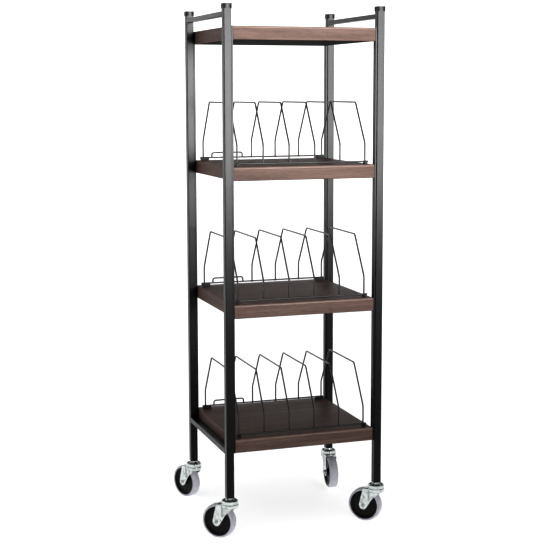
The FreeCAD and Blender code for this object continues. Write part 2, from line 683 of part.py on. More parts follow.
def make_tyre(corner):
    """Ring tread with rounded shoulders on the rim."""
    body = new_body("wheel_tyre_" + corner, *wheel_place(corner), corner + "_turn")
    half = new_sketch(body, "half", "YZ_Plane")
    polygon(half, [("-wheel_width / 2", "tyre_inner"), ("wheel_width / 2", "tyre_inner"),
                   ("wheel_width / 2", "wheel_radius"), ("-wheel_width / 2", "wheel_radius")])
    turned = revolve(body, "turned", half, "H_Axis")
    outer = sized("wheel_radius")
    soften(body, "shoulders", turned,
           lambda edge: edge.Curve.TypeId == "Part::GeomCircle"
           and abs(edge.Curve.Radius - outer) < NEAR, "tyre_round")


for corner in CORNERS:
    make_post(corner)
    make_strip(corner)
make_post_caps()
make_post_inserts()
for name, side in (("left", -1), ("right", 1)):
    make_side_tube("handle_bar_" + name, side, "bar_bottom", "bar_height")
    make_side_tube("lower_rail_" + name, side, "rail_bottom", "rail_height")
for number in range(1, SHELVES + 1):
    make_shelf(number)
    make_backer(number)
make_pins()
for number in range(FIRST_DIVIDED, SHELVES + 1):
    make_wire_rails(number)
    make_dividers(number)
make_clips()
make_hoops()
for corner in CORNERS:
    make_stem(corner)
    make_cup(corner)
    make_fork(corner)
    make_axle_bolt(corner)
    make_axle_nut(corner)
    make_wheel_core(corner)
    make_tyre(corner)

doc.recompute()
for item in doc.Objects:
    bad = [state for state in item.State if state in ("Invalid", "Error")]
    if bad:
        raise RuntimeError("%s is %s" % (item.Name, bad))
os.makedirs("parts", exist_ok=True)
for body in pieces:
    shape = body.Shape
    if shape.isNull() or not shape.isValid() or not shape.Solids:
        raise RuntimeError("%s has no sound shape" % body.Label)
    shape.exportStep("parts/%s.step" % body.Label)
print("%d nodes, %d solids" % (len(pieces), sum(len(body.Shape.Solids) for body in pieces)))
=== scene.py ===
import json
import math
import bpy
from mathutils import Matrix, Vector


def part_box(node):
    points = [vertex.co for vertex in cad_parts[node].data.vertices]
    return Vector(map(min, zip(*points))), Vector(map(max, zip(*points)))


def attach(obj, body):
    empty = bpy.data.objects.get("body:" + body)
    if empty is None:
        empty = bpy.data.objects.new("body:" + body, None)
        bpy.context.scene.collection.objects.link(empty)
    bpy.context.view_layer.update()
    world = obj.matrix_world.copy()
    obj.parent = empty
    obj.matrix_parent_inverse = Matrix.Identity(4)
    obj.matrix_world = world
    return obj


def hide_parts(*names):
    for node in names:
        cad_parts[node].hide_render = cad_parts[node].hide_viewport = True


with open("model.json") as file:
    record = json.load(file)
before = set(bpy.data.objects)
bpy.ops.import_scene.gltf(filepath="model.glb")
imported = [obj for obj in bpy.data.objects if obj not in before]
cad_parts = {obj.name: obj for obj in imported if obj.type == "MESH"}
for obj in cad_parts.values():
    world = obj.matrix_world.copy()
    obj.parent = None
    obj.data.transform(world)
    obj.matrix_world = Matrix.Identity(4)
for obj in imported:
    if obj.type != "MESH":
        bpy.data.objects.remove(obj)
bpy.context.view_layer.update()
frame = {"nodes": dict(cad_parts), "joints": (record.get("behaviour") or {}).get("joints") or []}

from types import SimpleNamespace

import bpy
from mathutils import Matrix, Vector

bl_info = {
    "name": "Medical Chart Rack",
    "version": (1, 0, 0),
    "blender": (4, 5, 0),
    "location": "View3D > Sidebar > Chart Rack",
    "description": "Builds a wheeled chart rack: finishes, casters, wire welds, floor and lights",
    "category": "Object",
}

MM = 0.001
NEAR = 1e-5                     # metres within which two places are the same
MERGED = 1e-6                   # metres within which two corners become one
CORNERS = ("front_left", "front_right", "rear_left", "rear_right")
SIDES = ("left", "right")
BOARDS = (1, 2, 3, 4)
DIVIDED = (2, 3, 4)
ROUND = 64                      # sides of a turned piece
SHARP_ANGLE = math.radians(40)  # edges sharper than this are bevelled
SMOOTH_ANGLE = math.radians(32)  # edges sharper than this stay crisp in the shading
WIDE_ANGLE = math.radians(60)   # the same for the welds and the studio paper
FORK_WIDTH = 37.0               # over the outside of both legs, mm
LEG_END = 12.5                  # radius of each leg's round end, mm
LEG_BEND = 3.4                  # radius of the bend from leg to crown, mm


# ---- small helpers -------------------------------------------------------------------------
def linear(code):
    """An sRGB hex colour as linear red, green, blue and a full alpha."""
    values = [int(code[i:i + 2], 16) / 255 for i in (1, 3, 5)]
    return tuple(v / 12.92 if v <= 0.04045 else ((v + 0.055) / 1.055) ** 2.4
                 for v in values) + (1.0,)


def close_mesh():
    """Back from edit mode to object mode."""
    bpy.ops.object.mode_set(mode="OBJECT")


def nothing_selected():
    """Object mode with nothing selected."""
    if bpy.context.object and bpy.context.object.mode != "OBJECT":
        close_mesh()
    bpy.ops.object.select_all(action="DESELECT")


def take(piece):
    """One piece selected and active."""
    nothing_selected()
    piece.select_set(True)
    bpy.context.view_layer.objects.active = piece


def open_mesh(piece):
    """Edit mode on a piece with all of it deselected."""
    take(piece)
    bpy.ops.object.mode_set(mode="EDIT")
    bpy.ops.mesh.select_mode(type="VERT")
    bpy.ops.mesh.select_all(action="DESELECT")


def choose(piece, wanted, kind="VERT"):
    """In edit mode, exactly the vertices, edges or faces that pass a test of their place:
    a vertex's point, an edge's two ends, or a face's middle and normal."""
    bpy.ops.mesh.select_mode(type=kind)
    bpy.ops.mesh.select_all(action="DESELECT")
    close_mesh()
    mesh = piece.data
    if kind == "VERT":
        for vertex in mesh.vertices:
            vertex.select = wanted(vertex.co)
    elif kind == "EDGE":
        for edge in mesh.edges:
            one, two = (mesh.vertices[i].co for i in edge.vertices)
            edge.select = wanted(one, two)
    else:
        for face in mesh.polygons:
            face.select = wanted(face.center, face.normal)
    bpy.ops.object.mode_set(mode="EDIT")


def bevelled(piece, wanted, width, segments):
    """Rounds the edges of an open mesh that pass a test, over a width in mm."""
    choose(piece, wanted, "EDGE")
    bpy.ops.mesh.bevel(offset=width * MM, segments=segments, affect="EDGES")


def call_it(name):
    """Names the piece that was just added."""
    piece = bpy.context.object
    piece.name = name
    piece.data.name = name
    return piece


def place(piece, matrix):
    """Moves a finished piece and puts its place into its mesh."""
    take(piece)
    piece.matrix_world = matrix
    bpy.ops.object.transform_apply(location=True, rotation=True, scale=True)


def copy_of(piece, name, matrix):
    """The same shape again with its own mesh, somewhere else and shaded."""
    take(piece)
    bpy.ops.object.duplicate(linked=False)
    made = call_it(name)
    place(made, matrix)
    soft_shaded(made)
    return made


def joined(pieces, name):
    """Several shapes as one piece."""
    nothing_selected()
    for piece in pieces:
        piece.select_set(True)
    bpy.context.view_layer.objects.active = pieces[0]
    bpy.ops.object.join()
    return call_it(name)


def soft_shaded(piece, angle=SMOOTH_ANGLE):
    """Smooth shading that keeps edges sharper than the angle."""
    take(piece)
    bpy.ops.object.shade_smooth_by_angle(angle=angle)


def rounded_edges(piece, width, segments=3):
    """A bevel on every sharp edge, applied."""
    take(piece)
    bevel = piece.modifiers.new("rounded edges", "BEVEL")
    bevel.width = width
    bevel.segments = segments
    bevel.limit_method = "ANGLE"
    bevel.angle_limit = SHARP_ANGLE
    bpy.ops.object.modifier_apply(modifier=bevel.name)


def arc(centre, radius, start, end, steps, upright=None):
    """Points of an arc for a turned profile, angles in degrees; with a second, upright
    radius it is part of an ellipse."""
    points = []
    for i in range(steps + 1):
        angle = math.radians(start + (end - start) * i / steps)
        points.append((centre[0] + radius * math.cos(angle),
                       centre[1] + (upright or radius) * math.sin(angle)))
    return points


def sealed():
    """Merges what coincides, points the faces outwards and leaves edit mode."""
    bpy.ops.mesh.select_all(action="SELECT")
    bpy.ops.mesh.remove_doubles(threshold=MERGED)
    bpy.ops.mesh.normals_make_consistent(inside=False)
    close_mesh()


def stepped(inset, rise):
    """Insets the chosen face and moves it up or down, both in mm."""
    bpy.ops.mesh.inset(thickness=inset * MM)
    bpy.ops.mesh.extrude_region_move()
    bpy.ops.transform.translate(value=(0, 0, rise * MM))


def turned(name, profile, sides=ROUND):
    """A turned piece about +Z: a ring extruded and resized through (radius, height) in mm.
    A profile that ends where it starts closes on itself; any other end gets a flat cap."""
    nothing_selected()
    radius, height = profile[0]
    bpy.ops.mesh.primitive_circle_add(vertices=sides, radius=radius * MM,
                                      location=(0, 0, height * MM))
    piece = call_it(name)
    bpy.ops.object.transform_apply(location=True, rotation=True, scale=True)
    bpy.ops.object.mode_set(mode="EDIT")
    bpy.ops.mesh.select_mode(type="EDGE")
    bpy.ops.mesh.select_all(action="SELECT")
    extrude = bpy.ops.mesh.extrude_edges_move
    if profile[0] != profile[-1]:
        extrude = bpy.ops.mesh.extrude_region_move
        bpy.ops.mesh.edge_face_add()
        bpy.ops.mesh.select_mode(type="EDGE")
    for wide, high in profile[1:]:
        extrude()
        ratio = wide / radius
        bpy.ops.transform.resize(value=(ratio, ratio, 1),
                                 center_override=(0, 0, height * MM))
        bpy.ops.transform.translate(value=(0, 0, (high - height) * MM))
        radius, height = wide, high
    sealed()
    return piece


def block(name, size, centre=(0, 0, 0)):
    """A box in mm to start a piece from."""
    nothing_selected()
    bpy.ops.mesh.primitive_cube_add(size=1, location=[c * MM for c in centre],
                                    scale=[s * MM for s in size])
    piece = call_it(name)
    bpy.ops.object.transform_apply(location=True, rotation=True, scale=True)
    return piece


def cut_away(piece, tool):
    """Takes one closed shape out of another."""
    take(piece)
    cutter = piece.modifiers.new("cut", "BOOLEAN")
    cutter.operation = "DIFFERENCE"
    cutter.solver = "EXACT"
    cutter.object = tool
    bpy.ops.object.modifier_apply(modifier=cutter.name)
    bpy.data.objects.remove(tool)


def joint_named(name):
    """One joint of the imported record."""
    return next(joint for joint in frame["joints"] if joint["name"] == name)


def swivel_point(corner):
    """The point on the floor below one caster's swivel axis."""
    spot = joint_named("swivel_" + corner)["pos_m"]
    return Vector((spot[0], spot[1], 0))


def caster_matrix(corner):
    """Caster's own frame: +X from the swivel axis towards the wheel, z = 0 on the floor."""
    axis = Vector(joint_named("roll_" + corner)["axis"])
    return Matrix.Translation(swivel_point(corner)) @ Matrix.Rotation(
        math.atan2(-axis.x, axis.y), 4, "Z")


def wheel_matrix(corner):
    """Wheel's own frame: origin at its centre, +Z along the axle."""
    spot = Vector(joint_named("roll_" + corner)["pos_m"])
    turn = caster_matrix(corner).to_3x3().to_4x4()
    return Matrix.Translation(spot) @ turn @ Matrix.Rotation(math.radians(-90), 4, "X")


# ---- finishes ------------------------------------------------------------------------------
def add_node(tree, kind, values=None, links=None, stops=(), **settings):
    """One shader node: settings are its properties, values its constants, links its inputs,
    and stops the places and colours along a colour ramp."""
    made = tree.nodes.new(kind)
    for name, value in settings.items():
        setattr(made, name, value)
    for name, value in (values or {}).items():
        made.inputs[name].default_value = value
    for name, socket in (links or {}).items():
        tree.links.new(socket, made.inputs[name])
    while stops and len(made.color_ramp.elements) < len(stops):
        made.color_ramp.elements.new(0.5)
    for i, (spot, colour) in enumerate(stops):
        made.color_ramp.elements[i].position = spot
        made.color_ramp.elements[i].color = colour
    return made


def start_finish(name, **values):
    """A new material and its surface shader with constants on the shader's own sockets."""
    finish = bpy.data.materials.new(name)
    finish.use_nodes = True
    shader = finish.node_tree.nodes["Principled BSDF"]
    for socket, value in values.items():
        shader.inputs[socket.replace("_", " ")].default_value = value
    return finish, finish.node_tree, shader


def per_metre(millimetres):
    """Pattern scale whose features are about that many millimetres across."""
    return 1 / (millimetres * MM)


def toned(colour, factor):
    """A picked colour made lighter or darker."""
    return tuple(min(1.0, value * factor) for value in colour[:3]) + (1.0,)


def surfaced(tree, shader, colour, cloud, rough, grit, relief):
    """Joins a finish up: its colour, roughness that follows the cloud between two values,
    and fine relief from the grit, given as a depth in mm and a strength."""
    span = add_node(tree, "ShaderNodeMapRange", links={"Value": cloud},
                    values={"To Min": rough[0], "To Max": rough[1]})
    bump = add_node(tree, "ShaderNodeBump", links={"Height": grit},
                    values={"Distance": relief[0] * MM, "Strength": relief[1]})
    tree.links.new(colour, shader.inputs["Base Color"])
    tree.links.new(span.outputs["Result"], shader.inputs["Roughness"])
    tree.links.new(bump.outputs["Normal"], shader.inputs["Normal"])


def mottled(name, cloud, tones, rough, relief, grit=None, **constants):
    """A finish on noise. The cloud gives the colour and the roughness; the grit, or else the
    cloud, gives the relief. Both are a feature size in mm and the noise's constants."""
    finish, tree, shader = start_finish(name, **constants)
    spot = add_node(tree, "ShaderNodeTexCoord").outputs["Object"]
    fields = []
    for size, values in filter(None, (cloud, grit)):
        noise = add_node(tree, "ShaderNodeTexNoise", links={"Vector": spot},
                         values={"Scale": per_metre(size), **values})
        fields.append(noise.outputs["Fac"])
    shade = add_node(tree, "ShaderNodeValToRGB", links={"Fac": fields[0]}, stops=tones)
    surfaced(tree, shader, shade.outputs["Color"], fields[0], rough, fields[-1], relief)
    return finish


def streaks(tree, point, length, width, **values):
    """A pattern drawn out along X, its features about length by width in mm."""
    space = add_node(tree, "ShaderNodeMapping", links={"Vector": point},
                     values={"Scale": (per_metre(length), per_metre(width), per_metre(width))})
    return add_node(tree, "ShaderNodeTexNoise", links={"Vector": space.outputs["Vector"]},
                    values={"Scale": 1.0, **values}).outputs["Fac"]


def powder_coat(look):
    """Satin black powder coat on steel tube: very dark, even, with a fine orange peel."""
    return mottled("satin_black_powder_coat", IOR=1.5, Specular_IOR_Level=0.13,
                   cloud=(60, {"Detail": 3.0, "Roughness": 0.6}),
                   tones=[(0.3, look.steel), (0.7, linear("#0D0D0E"))], rough=(0.27, 0.33),
                   grit=(1.2, {"Detail": 2.0, "Roughness": 0.5}), relief=(0.012, 0.5))


def wire_coat(look):
    """Black coating dipped on bent wire: a little glossier and smoother than the tube."""
    return mottled("gloss_black_coated_wire", IOR=1.5, Specular_IOR_Level=0.4,
                   cloud=(9, {"Detail": 2.0}),
                   tones=[(0.35, look.wire), (0.7, linear("#131110"))], rough=(0.28, 0.38),
                   relief=(0.02, 0.4))


def walnut_laminate(look):
    """Walnut-pattern laminate, satin: long soft figure along the board, short dark pores."""
    finish, tree, shader = start_finish("satin_walnut_laminate", IOR=1.48,
                                        Specular_IOR_Level=0.04)
    spot = add_node(tree, "ShaderNodeTexCoord").outputs["Object"]
    # the strip on each side of a board is cut along its own length, so its grain is turned
    facing = add_node(tree, "ShaderNodeSeparateXYZ", links={
        "Vector": add_node(tree, "ShaderNodeNewGeometry").outputs["True Normal"]})
    steep = add_node(tree, "ShaderNodeMath", operation="ABSOLUTE",
                     links={0: facing.outputs["X"]})
    sideways = add_node(tree, "ShaderNodeMath", operation="GREATER_THAN", values={1: 0.7},
                        links={0: steep.outputs["Value"]})
    quarter = add_node(tree, "ShaderNodeMapping", links={"Vector": spot},
                       values={"Rotation": (0, 0, math.radians(90))})
    along = add_node(tree, "ShaderNodeMix", data_type="VECTOR",
                     links={"Factor": sideways.outputs["Value"], 4: spot,
                            5: quarter.outputs["Vector"]}).outputs[1]
    figure = streaks(tree, along, 240, 9, Detail=6.0, Roughness=0.65, Distortion=0.5)
    pores = streaks(tree, along, 22, 1.1, Detail=2.0, Roughness=0.7)
    ground = add_node(tree, "ShaderNodeValToRGB", links={"Fac": figure}, stops=[
        (0.28, toned(look.wood, 0.66)), (0.42, toned(look.wood, 0.86)),
        (0.55, toned(look.wood, 1.03)), (0.70, toned(look.wood, 1.27))])
    dark = add_node(tree, "ShaderNodeMapRange", links={"Value": pores},
                    values={"From Min": 0.32, "From Max": 0.46, "To Min": 0.62, "To Max": 1.0})
    shade = add_node(tree, "ShaderNodeVectorMath", operation="SCALE",
                     links={0: ground.outputs["Color"], "Scale": dark.outputs["Result"]})
    surfaced(tree, shader, shade.outputs["Vector"], pores, (0.54, 0.42), pores, (0.05, 0.35))
    return finish


def walnut_edge(look):
    """The laminate where it is rolled over the board's upper edge, in lighter tones: a painted
    highlight where the rounded edge catches the light.
    """
    finish, tree, shader = start_finish("walnut_edge_painted_highlight", IOR=1.48,
                                        Specular_IOR_Level=0.3)
    spot = add_node(tree, "ShaderNodeTexCoord").outputs["Object"]
    streak = streaks(tree, spot, 30, 2, Detail=3.0, Roughness=0.6)
    # the lighter wood tones here are the painted highlight of the rounded edge
    shade = add_node(tree, "ShaderNodeValToRGB", links={"Fac": streak}, stops=[
        (0.3, toned(look.wood, 1.2)), (0.6, toned(look.wood, 1.9))])
    surfaced(tree, shader, shade.outputs["Color"], streak, (0.36, 0.5), streak, (0.04, 0.3))
    return finish


def phenolic_sheet(look):
    """Near-black backing sheet under the board, dull and faintly mottled paper and resin: its
    dark tone is painted shade under the board.
    """
    return mottled("backing_sheet_painted_shade", IOR=1.5, Specular_IOR_Level=0.02,
                   cloud=(7, {"Detail": 4.0, "Roughness": 0.7}),
                   tones=[(0.3, linear("#050404")), (0.7, look.backing)], rough=(0.7, 0.85),
                   relief=(0.03, 0.4))


def black_nylon(look):
    """Moulded black nylon: dull sheen with a fine spark-eroded grain."""
    return mottled("moulded_black_nylon", IOR=1.53, Specular_IOR_Level=0.18,
                   cloud=(0.8, {"Detail": 3.0, "Roughness": 0.6}),
                   tones=[(0.3, look.nylon), (0.75, linear("#101012"))], rough=(0.45, 0.6),
                   relief=(0.02, 0.5))


def zinc_plate(look):
    """Bright zinc plate on pressed steel: silver with a cool cast and cloudy gloss."""
    return mottled("bright_zinc_plated_steel", Metallic=1.0,
                   cloud=(11, {"Detail": 4.0, "Roughness": 0.6}),
                   tones=[(0.3, linear("#8E9593")), (0.5, look.zinc),
                          (0.7, linear("#DFE2DF"))], rough=(0.1, 0.3),
                   grit=(0.9, {"Detail": 2.0}), relief=(0.01, 0.35))


def dull_zinc(look):
    """Zinc plate, duller and a darker grey, as in the pressed rib and on the bolt heads; on the
    rib and on the bearing ring the darker grey is painted shade.
    """
    return mottled("dull_zinc_with_painted_shade", Metallic=1.0,
                   cloud=(4, {"Detail": 4.0, "Roughness": 0.6}),
                   tones=[(0.3, linear("#8F9697")), (0.7, linear("#B4B9BA"))],
                   rough=(0.38, 0.55), relief=(0.03, 0.4))


def tread_rubber(look, name="grey_thermoplastic_rubber", tone=1.0):
    """Grey thermoplastic rubber tread: soft, matte, a little cooler than neutral."""
    return mottled(name, IOR=1.5, cloud=(14, {"Detail": 5.0, "Roughness": 0.65}),
                   tones=[(0.3, toned(look.tread, 0.82 * tone)), (0.55, toned(look.tread, tone)),
                          (0.8, toned(look.tread, 1.18 * tone))], rough=(0.5, 0.68),
                   grit=(0.7, {"Detail": 2.0}), relief=(0.02, 0.5))


def side_rubber(look):
    """The same rubber on the side walls, a little darker: painted shade on the sides that turn
    away from the light.
    """
    return tread_rubber(look, "grey_rubber_side_painted_shade", 0.9)


def wheel_plastic(look):
    """Moulded black polypropylene wheel: deep black with a soft sheen and flow marks."""
    return mottled("moulded_black_polypropylene", IOR=1.49, Specular_IOR_Level=0.18,
                   cloud=(16, {"Detail": 3.0, "Distortion": 0.8}),
                   tones=[(0.3, look.wheel), (0.75, linear("#08080A"))], rough=(0.36, 0.5),
                   relief=(0.03, 0.3))


def seal_rubber(look):
    """Black rubber ring sunk in the cup's top, dull and slightly dusty: a painted dark reflection
    of the black post above.
    """
    return mottled("black_ring_painted_reflection", IOR=1.52, cloud=(2.5, {"Detail": 4.0}),
                   tones=[(0.35, linear("#0A0A0B")), (0.8, linear("#1C1B1C"))],
                   rough=(0.6, 0.8), relief=(0.02, 0.4))


FINISHES = {
    "powder coat": powder_coat,
    "wire coat": wire_coat,
    "walnut": walnut_laminate,
    "walnut edge highlight": walnut_edge,
    "backing": phenolic_sheet,
    "nylon": black_nylon,
    "zinc": zinc_plate,
    "dull zinc": dull_zinc,
    "tread": tread_rubber,
    "tread side shade": side_rubber,
    "wheel": wheel_plastic,
    "seal": seal_rubber,
}
made_finishes = {}


def finish_named(name):
    """A finish, mixed once and shared."""
    if name not in made_finishes:
        made_finishes[name] = FINISHES[name](bpy.context.scene.chart_rack_colours)
    return made_finishes[name]


def coat(piece, name):
    """One finish all over a piece."""
    piece.data.materials.clear()
    piece.data.materials.append(finish_named(name))


def coat_faces(piece, wanted, slot):
    """Gives the faces that pass a test another of the piece's finishes."""
    open_mesh(piece)
    choose(piece, wanted, "FACE")
    piece.active_material_index = slot
    bpy.ops.object.material_slot_assign()
    close_mesh()


def coat_nodes(names, finish):
    """One finish on CAD nodes that stay."""
    for name in names:
        node = frame["nodes"][name]
        coat(node, finish)


# ---- what a user may change ----------------------------------------------------------------
def colour_property(name, words, code):
    """A colour picker with a default given as sRGB hex."""
    return bpy.props.FloatVectorProperty(name=name, description=words, subtype="COLOR", size=4,
                                         min=0.0, max=1.0, default=linear(code))


class ChartRackColours(bpy.types.PropertyGroup):
    steel: colour_property("Frame", "Powder coat on posts, bars and rails", "#080809")
    wire: colour_property("Wire", "Coating on the divider wires", "#1B1816")
    wood: colour_property("Wood", "Middle tone of the walnut laminate", "#5C4C46")
    backing: colour_property("Backing", "Sheet under each board", "#0E0B0A")
    nylon: colour_property("Nylon", "Caps and wire clips", "#09090A")
    zinc: colour_property("Zinc", "Plating on the casters", "#CBD0CF")
    tread: colour_property("Tread", "Rubber tread of the wheels", "#C2C2CA")
    wheel: colour_property("Wheel", "Moulded wheel centres", "#040405")
    floor: colour_property("Floor", "Studio floor and backdrop", "#F2F2F2")


class ChartRackSizes(bpy.types.PropertyGroup):
    tread_crown: bpy.props.FloatProperty(
        name="Tread crown", description="How far the tread's middle stands above its edges",
        default=0.7 * MM, min=0.0, max=2.0 * MM, subtype="DISTANCE", unit="LENGTH")
    sheet_steel: bpy.props.FloatProperty(
        name="Fork steel", description="Thickness of the pressed fork",
        default=2.4 * MM, min=1.0 * MM, max=2.5 * MM, subtype="DISTANCE", unit="LENGTH")
    weld_size: bpy.props.FloatProperty(
        name="Weld", description="Width of the small welds on the wires",
        default=3.4 * MM, min=1.0 * MM, max=6.0 * MM, subtype="DISTANCE", unit="LENGTH")
    camera_lens: bpy.props.FloatProperty(
        name="Lens", description="Focal length of the camera in millimetres",
        default=82.66, min=20.0, max=200.0)


# ---- operators -----------------------------------------------------------------------------
def shine(lamp, spot, target):
    """Hangs a lamp at a spot and points it at a target."""
    holder = bpy.data.objects.new(lamp.name, lamp)
    bpy.context.scene.collection.objects.link(holder)
    holder.location = spot
    aim = Vector(target) - Vector(spot)
    holder.rotation_euler = aim.to_track_quat("-Z", "Y").to_euler()
    return holder


class CHARTRACK_OT_stage(bpy.types.Operator):
    """Floor, backdrop, soft lights and the camera"""
    bl_idname = "chart_rack.stage"
    bl_label = "Stage"

    def execute(self, context):
        scene = context.scene
        # the paper's half width, its front and back edge, wall and sweep, in metres
        half_width, front, back, wall, sweep = 45.0, -45.0, 9.0, 3.2, 3.0
        close = 0.01  # an edge this near the back is the back edge
        nothing_selected()
        bpy.ops.mesh.primitive_plane_add(size=1, location=(0, 0, 0))
        floor = call_it("studio_floor")
        open_mesh(floor)
        bpy.ops.mesh.select_all(action="SELECT")
        bpy.ops.transform.resize(value=(2 * half_width, back - front, 1))
        bpy.ops.transform.translate(value=(0, (back + front) / 2, 0))
        choose(floor, lambda one, two: min(one.y, two.y) > back - close, "EDGE")
        bpy.ops.mesh.extrude_region_move(TRANSFORM_OT_translate={"value": (0, 0, wall)})
        choose(floor, lambda one, two: min(one.y, two.y) > back - close
               and max(one.z, two.z) < close, "EDGE")
        bpy.ops.mesh.bevel(offset=sweep, segments=24, affect="EDGES")
        close_mesh()
        soft_shaded(floor, WIDE_ANGLE)

        # matte studio paper: even and pale, with a fibre that hardly shows
        paint, tree, shader = start_finish("matte_studio_paper", Roughness=0.9,
                                           Specular_IOR_Level=0.1)
        spot = add_node(tree, "ShaderNodeTexCoord").outputs["Object"]
        fibre = add_node(tree, "ShaderNodeTexNoise", links={"Vector": spot},
                         values={"Scale": 3.0, "Detail": 2.0})
        pale = scene.chart_rack_colours.floor
        tone = add_node(tree, "ShaderNodeValToRGB", links={"Fac": fibre.outputs["Fac"]},
                        stops=[(0.0, pale), (1.0, toned(pale, 1.01))])
        tree.links.new(tone.outputs["Color"], shader.inputs["Base Color"])
        floor.data.materials.append(paint)

        # white all round and dark above to the right, as under a black flag: bright metal
        # then keeps some contrast
        flag, brightness = (0.35, -0.15, 0.92), 0.76
        sky = bpy.data.worlds.new("soft studio")
        sky.use_nodes = True
        tree = sky.node_tree
        around = add_node(tree, "ShaderNodeTexCoord").outputs["Generated"]
        towards_flag = add_node(tree, "ShaderNodeVectorMath", operation="DOT_PRODUCT",
                                values={1: flag}, links={0: around})
        tone = add_node(tree, "ShaderNodeValToRGB",
                        links={"Fac": towards_flag.outputs["Value"]},
                        stops=[(0.0, linear("#FFFFFF")), (0.38, linear("#FFFFFF")),
                               (0.66, linear("#A0A0A3"))])
        background = tree.nodes["Background"]
        tree.links.new(tone.outputs["Color"], background.inputs["Color"])
        background.inputs["Strength"].default_value = brightness
        scene.world = sky

        lamp = bpy.data.lights.new("key", "AREA")
        lamp.shape = "RECTANGLE"
        lamp.size = 1.5
        lamp.size_y = 1.5
        lamp.energy = 23.0
        lamp.spread = math.radians(40)
        shine(lamp, (0.72, -2.6, 1.5), (-0.05, -0.1, 1.5))
        # a background light falls on the paper alone, as its own lamps do in a studio
        lamp = bpy.data.lights.new("background", "SUN")
        lamp.energy = 3.6
        lamp.angle = math.radians(80)
        holder = shine(lamp, (0.0, 0.0, 0.0), (0.0, 0.8, -1.0))
        lit = bpy.data.collections.new("backdrop")
        lit.objects.link(floor)
        holder.light_linking.receiver_collection = lit
        holder.light_linking.blocker_collection = lit

        eye = bpy.data.cameras.new("camera")
        eye.sensor_width = 36.0
        eye.lens = scene.chart_rack_sizes.camera_lens
        eye.shift_y = -0.04
        eye.clip_end = 60.0
        camera = bpy.data.objects.new("camera", eye)
        scene.collection.objects.link(camera)
        stand = (-1.21936, -3.64137, 1.27776)
        yaw, pitch, roll = (math.radians(angle) for angle in (18.924, -7.427, -0.087))
        camera.matrix_world = (Matrix.Translation(stand) @ Matrix.Rotation(-yaw, 4, "Z")
                               @ Matrix.Rotation(math.pi / 2 + pitch, 4, "X")
                               @ Matrix.Rotation(roll, 4, "Z"))
        scene.camera = camera
        scene.view_settings.view_transform = "Standard"
        scene.view_settings.gamma = 0.8
        return {"FINISHED"}


class CHARTRACK_OT_frame(bpy.types.Operator):
    """Finishes on the posts, strips, handle bars and lower rails"""
    bl_idname = "chart_rack.frame"
    bl_label = "Frame"

    def execute(self, context):
        for start in ("post_", "shelf_strip_"):
            coat_nodes([start + c for c in CORNERS], "powder coat")
        for start in ("handle_bar_", "lower_rail_"):
            coat_nodes([start + s for s in SIDES], "powder coat")
        coat_nodes(["post_inserts"], "nylon")
        coat_nodes(["shelf_pins"], "zinc")
        return {"FINISHED"}


class CHARTRACK_OT_caps(bpy.types.Operator):
    """Four moulded caps with sunk tops, pushed into the posts"""
    bl_idname = "chart_rack.caps"
    bl_label = "Post caps"

    def execute(self, context):
        border, dish = 3.2, 0.35  # the top's flat border and its sunk middle
        corner_round, edge_round = 2.0, 1.1
        plug_wall, plug_depth = 1.6, 13.5  # the plug inside the tube
        bevel_rise = 0.25  # how far the corner bevels rise above the edge
        low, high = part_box("post_front_left")
        side = (high.x - low.x) / MM
        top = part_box("post_caps")[1].z / MM - bevel_rise
        seat = high.z / MM
        cap = block("cap", (side, side, top - seat), (0, 0, (top + seat) / 2))
        open_mesh(cap)
        choose(cap, lambda middle, normal: normal.z > 0.9, "FACE")
        stepped(border, -dish)
        upright = 0.5 * MM  # more than the dish is deep
        bevelled(cap, lambda one, two: abs(one.z - two.z) > upright
                 and (one.xy - two.xy).length < NEAR, corner_round, 4)
        reach = (side / 2 - corner_round - 0.2) * MM
        bevelled(cap, lambda one, two: min(one.z, two.z) > top * MM - NEAR
                 and max(abs(one.x), abs(one.y)) > reach
                 and max(abs(two.x), abs(two.y)) > reach, edge_round, 4)
        choose(cap, lambda middle, normal: normal.z < -0.9, "FACE")
        stepped(plug_wall, -plug_depth)
        close_mesh()
        copies = []
        for corner in CORNERS:
            low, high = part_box("post_" + corner)
            middle = (low + high) / 2
            copies.append(copy_of(cap, "cap_" + corner,
                                  Matrix.Translation((middle.x, middle.y, 0))))
        bpy.data.objects.remove(cap)
        caps = joined(copies, "post_caps_moulded")
        coat(caps, "nylon")
        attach(caps, "rack")
        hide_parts("post_caps")
        return {"FINISHED"}


